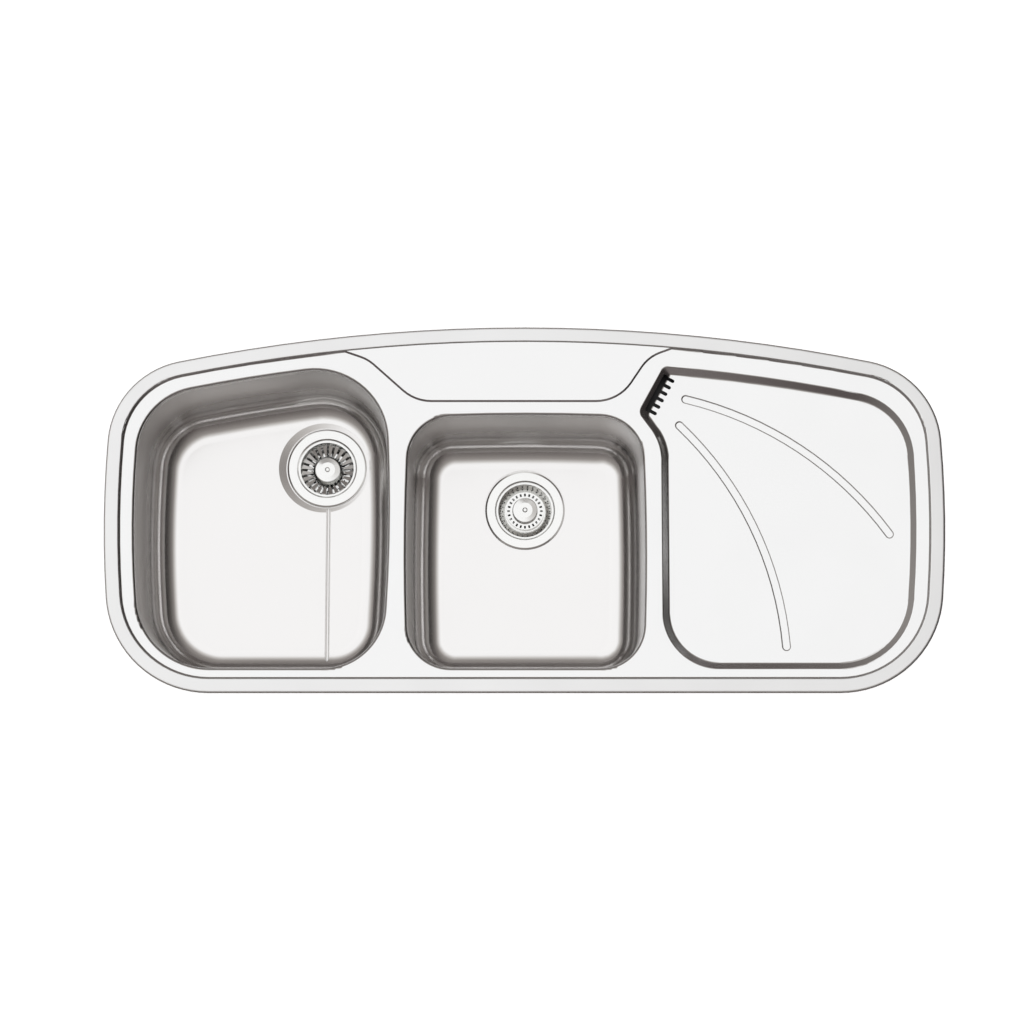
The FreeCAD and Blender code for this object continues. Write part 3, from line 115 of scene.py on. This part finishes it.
room.links.new(sky.outputs["Color"], shaded.inputs[0])
room.links.new(fall.outputs["Result"], shaded.inputs["Scale"])
room.links.new(shaded.outputs["Vector"], room.nodes["Background"].inputs["Color"])
room.nodes["Background"].inputs["Strength"].default_value = light_strength
bpy.context.scene.view_settings.view_transform = "Standard"


# Deck: one pressing of 1 mm stainless steel with its rim, tap ledge and drainer pan.
# The flats are satin, brushed along the length; the raised rim is brushed duller.
def effect_group(name, inputs, outputs):
    """An empty shared effect with named sockets, and its two ends."""
    group = bpy.data.node_groups.new(name, "ShaderNodeTree")
    for socket, kind in inputs:
        group.interface.new_socket(socket, in_out="INPUT", socket_type=kind)
    for socket in outputs:
        group.interface.new_socket(socket, in_out="OUTPUT", socket_type="NodeSocketFloat")
    return group, group.nodes.new("NodeGroupInput"), group.nodes.new("NodeGroupOutput")


# The brushed grain is fine uneven lines, drawn out along the axis where Fineness is small,
# with a slow cloud over them that shifts the gloss.
vector = "NodeSocketVector"
number = "NodeSocketFloat"
cloud_scale = 9.0
brushed_grain, grain_in, grain_out = effect_group(
    "brushed_grain", (("Place", vector), ("Fineness", vector)), ("Height", "Cloud")
)
stretch = brushed_grain.nodes.new("ShaderNodeVectorMath")
stretch.operation = "MULTIPLY"
lines = brushed_grain.nodes.new("ShaderNodeTexNoise")
lines.inputs["Scale"].default_value = 1.0
lines.inputs["Detail"].default_value = 3.0
cloud = brushed_grain.nodes.new("ShaderNodeTexNoise")
cloud.inputs["Scale"].default_value = cloud_scale
cloud.inputs["Detail"].default_value = 2.0
brushed_grain.links.new(grain_in.outputs["Place"], stretch.inputs[0])
brushed_grain.links.new(grain_in.outputs["Fineness"], stretch.inputs[1])
brushed_grain.links.new(stretch.outputs["Vector"], lines.inputs["Vector"])
brushed_grain.links.new(grain_in.outputs["Place"], cloud.inputs["Vector"])
brushed_grain.links.new(lines.outputs["Fac"], grain_out.inputs["Height"])
brushed_grain.links.new(cloud.outputs["Fac"], grain_out.inputs["Cloud"])


def new_finish(name, effect):
    """A material with one shared effect placed on the piece's own coordinates."""
    material = bpy.data.materials.new(name)
    material.use_nodes = True
    tree = material.node_tree
    place = tree.nodes.new("ShaderNodeTexCoord")
    surface = tree.nodes.new("ShaderNodeGroup")
    surface.node_tree = effect
    tree.links.new(place.outputs["Object"], surface.inputs["Place"])
    return material, tree, tree.nodes["Principled BSDF"], place, surface


def between(tree, value, start, end, ends):
    """Carries a value from the span start to end over to the pair of ends."""
    span = tree.nodes.new("ShaderNodeMapRange")
    span.inputs["From Min"].default_value = start
    span.inputs["From Max"].default_value = end
    span.inputs["To Min"].default_value = ends[0]
    span.inputs["To Max"].default_value = ends[1]
    tree.links.new(value, span.inputs["Value"])
    return span.outputs["Result"]


def emboss(tree, shader, height, strength, depth):
    """Bump from a height, straight into the shader."""
    bump = tree.nodes.new("ShaderNodeBump")
    bump.inputs["Strength"].default_value = strength
    bump.inputs["Distance"].default_value = depth
    tree.links.new(height, bump.inputs["Height"])
    tree.links.new(bump.outputs["Normal"], shader.inputs["Normal"])


cloud_span = (0.3, 0.7)
grain_depth = 0.00005


def steel(name, color, gloss, fineness, relief, duller=None):
    """Stainless steel: gloss is a pair of roughness values that the cloud moves between.

    duller is (low, high, more): roughness grows by more from height low to height high.
    """
    material, tree, shader, place, grain = new_finish(name, brushed_grain)
    shader.inputs["Base Color"].default_value = (*color, 1)
    shader.inputs["Metallic"].default_value = 1.0
    grain.inputs["Fineness"].default_value = fineness
    roughness = between(tree, grain.outputs["Cloud"], *cloud_span, gloss)
    if duller is not None:
        low, high, more = duller
        axes = tree.nodes.new("ShaderNodeSeparateXYZ")
        tree.links.new(place.outputs["Object"], axes.inputs["Vector"])
        total = tree.nodes.new("ShaderNodeMath")
        total.operation = "ADD"
        tree.links.new(roughness, total.inputs[0])
        tree.links.new(between(tree, axes.outputs["Z"], low, high, (0.0, more)), total.inputs[1])
        roughness = total.outputs["Value"]
    tree.links.new(roughness, shader.inputs["Roughness"])
    emboss(tree, shader, grain.outputs["Height"], relief, grain_depth)
    return material


def finish(material, *names):
    """Gives carried-over nodes their finish."""
    for name in names:
        nodes[name].data.materials.clear()
        nodes[name].data.materials.append(material)


rim_top = 0.006
rim_fade = 0.0015
rim_duller = 0.16
deck_steel = steel(
    "deck_steel",
    color=(0.86, 0.86, 0.86),
    gloss=(0.13, 0.17),
    fineness=(30.0, 2400.0, 30.0),
    relief=0.10,
    duller=(rim_top - rim_fade, rim_top, rim_duller),
)
finish(deck_steel, "deck")


# Bowls: deep drawn from 0.9 mm stainless steel and welded under the deck's collars. The
# walls are brushed up and down, duller towards the mouth; the floors keep more gloss.
# Outside, where the surface faces down, they are sprayed with a grey damping coat.
bowl_floor = -0.172
bowl_mouth = -0.008
mouth_duller = 0.30
bowl_steel = steel(
    "bowl_steel",
    color=(0.86, 0.85, 0.845),
    gloss=(0.13, 0.17),
    fineness=(900.0, 900.0, 22.0),
    relief=0.22,
    duller=(bowl_floor, bowl_mouth, mouth_duller),
)
coat_color = (0.27, 0.275, 0.285)
coat_roughness = 0.62
coat_full = -0.02
coat_none = -0.01
bowl_tree = bowl_steel.node_tree
bowl_shader = bowl_tree.nodes["Principled BSDF"]
facing = bowl_tree.nodes.new("ShaderNodeTexCoord")
facing_axes = bowl_tree.nodes.new("ShaderNodeSeparateXYZ")
bowl_tree.links.new(facing.outputs["Normal"], facing_axes.inputs["Vector"])
sprayed = between(bowl_tree, facing_axes.outputs["Z"], coat_full, coat_none, (1.0, 0.0))
bare_color = tuple(bowl_shader.inputs["Base Color"].default_value)
bare_roughness = bowl_shader.inputs["Roughness"].links[0].from_socket
coat_ends = (
    ("Base Color", "RGBA", bare_color, (*coat_color, 1)),
    ("Metallic", "FLOAT", 1.0, 0.0),
    ("Roughness", "FLOAT", bare_roughness, coat_roughness),
)
for socket, kind, bare, coated in coat_ends:
    coat = bowl_tree.nodes.new("ShaderNodeMix")
    coat.data_type = kind
    share, bare_end, coated_end = [end for end in coat.inputs if end.enabled]
    bowl_tree.links.new(sprayed, share)
    if bare is bare_roughness:
        bowl_tree.links.new(bare, bare_end)
    else:
        bare_end.default_value = bare
    coated_end.default_value = coated
    result = next(end for end in coat.outputs if end.enabled)
    bowl_tree.links.new(result, bowl_shader.inputs[socket])
finish(bowl_steel, "bowl_large", "bowl_small")


# Wastes: a polished flange and cup dropped through each bowl's recess, held down from
# below by a black moulded housing and one centre bolt.
sizes = ("large", "small")
polished_steel = steel(
    "polished_steel",
    color=(0.88, 0.88, 0.87),
    gloss=(0.10, 0.15),
    fineness=(700.0, 700.0, 700.0),
    relief=0.08,
)
finish(polished_steel, *("waste_cup_" + size for size in sizes))
finish(polished_steel, *("waste_bolt_" + size for size in sizes))

# The speckle is the small uneven relief of a moulded, foamed or plated surface, with a
# slow cloud that changes its tone.
speckle, speckle_in, speckle_out = effect_group(
    "speckle", (("Place", vector), ("Fineness", number), ("Spread", number)), ("Height", "Cloud")
)
pits = speckle.nodes.new("ShaderNodeTexVoronoi")
pits.feature = "SMOOTH_F1"
drift = speckle.nodes.new("ShaderNodeTexNoise")
drift.inputs["Detail"].default_value = 4.0
speckle.links.new(speckle_in.outputs["Place"], pits.inputs["Vector"])
speckle.links.new(speckle_in.outputs["Fineness"], pits.inputs["Scale"])
speckle.links.new(speckle_in.outputs["Place"], drift.inputs["Vector"])
speckle.links.new(speckle_in.outputs["Spread"], drift.inputs["Scale"])
speckle.links.new(pits.outputs["Distance"], speckle_out.inputs["Height"])
speckle.links.new(drift.outputs["Fac"], speckle_out.inputs["Cloud"])

tone_span = (0.35, 0.65)


def speckled(name, tones, gloss, fineness, spread, relief, depth, metallic=0.0):
    """A finish that drifts between two tones and two roughness values over a speckle."""
    material, tree, shader, place, surface = new_finish(name, speckle)
    shader.inputs["Metallic"].default_value = metallic
    surface.inputs["Fineness"].default_value = fineness
    surface.inputs["Spread"].default_value = spread
    tone = tree.nodes.new("ShaderNodeValToRGB")
    for stop, position, color in zip(tone.color_ramp.elements, tone_span, tones):
        stop.position = position
        stop.color = (*color, 1)
    tree.links.new(surface.outputs["Cloud"], tone.inputs["Fac"])
    tree.links.new(tone.outputs["Color"], shader.inputs["Base Color"])
    roughness = between(tree, surface.outputs["Cloud"], *cloud_span, gloss)
    tree.links.new(roughness, shader.inputs["Roughness"])
    emboss(tree, shader, surface.outputs["Height"], relief, depth)
    return material


black_plastic = speckled(
    "black_plastic",
    tones=((0.018, 0.018, 0.020), (0.034, 0.034, 0.037)),
    gloss=(0.38, 0.50),
    fineness=1600.0,
    spread=60.0,
    relief=0.35,
    depth=0.00008,
)
finish(black_plastic, *("waste_housing_" + size for size in sizes))


# Seals of the wastes: a thin ring under each flange and a thick gasket under each bowl,
# both moulded in black rubber with a slightly uneven bloom.
black_rubber = speckled(
    "black_rubber",
    tones=((0.014, 0.014, 0.014), (0.038, 0.038, 0.037)),
    gloss=(0.62, 0.80),
    fineness=2200.0,
    spread=90.0,
    relief=0.30,
    depth=0.00006,
)
finish(black_rubber, *("flange_seal_" + size for size in sizes))
finish(black_rubber, *("waste_gasket_" + size for size in sizes))


# Lift-out strainers: pressed steel baskets with a polished knob, a rubber stopper under
# the basket and a nut that holds them together.
finish(polished_steel, *("basket_" + size for size in sizes))
finish(polished_steel, *("basket_knob_" + size for size in sizes))
finish(polished_steel, *("basket_nut_" + size for size in sizes))
finish(black_rubber, *("basket_stopper_" + size for size in sizes))


# Outlet box: moulded in the housings' black plastic, fixed under the drainer's slots,
# with a hose spigot behind.
finish(black_plastic, "drainer_outlet_box")


# Rim seal: closed-cell grey foam tape stuck all round under the rim. It is squeezed
# between the rim and the worktop.
grey_foam = speckled(
    "grey_foam",
    tones=((0.16, 0.16, 0.165), (0.26, 0.26, 0.265)),
    gloss=(0.85, 0.95),
    fineness=1100.0,
    spread=220.0,
    relief=0.9,
    depth=0.0004,
)
finish(grey_foam, "rim_seal")


# Sound pads: sheets of bitumen felt stuck under the bowl floors, coarse and dull. They
# deaden the ring of the thin steel.
damping_pad = speckled(
    "damping_pad",
    tones=((0.045, 0.044, 0.042), (0.095, 0.092, 0.088)),
    gloss=(0.78, 0.92),
    fineness=520.0,
    spread=140.0,
    relief=0.8,
    depth=0.0006,
)
finish(damping_pad, *("sound_pad_" + size for size in sizes))


# Worktop clamps: zinc plated steel brackets welded under the rim, each with a screw and a
# swinging arm. The plating is a cool grey with a faint yellow drift.
zinc_steel = speckled(
    "zinc_steel",
    tones=((0.50, 0.515, 0.54), (0.66, 0.655, 0.62)),
    gloss=(0.26, 0.40),
    fineness=900.0,
    spread=120.0,
    relief=0.25,
    depth=0.00008,
    metallic=1.0,
)
clamp_count = 8
finish(zinc_steel, "clamp_brackets")
for index in range(1, clamp_count + 1):
    finish(zinc_steel, "clamp_screw_%d" % index, "clamp_arm_%d" % index)


# Every carried-over node has one of the finishes above.
finishes = (
    deck_steel,
    bowl_steel,
    polished_steel,
    black_plastic,
    black_rubber,
    grey_foam,
    damping_pad,
    zinc_steel,
)
for name, piece in nodes.items():
    if piece.data.materials[0] not in finishes:
        raise RuntimeError("no finish on " + name)
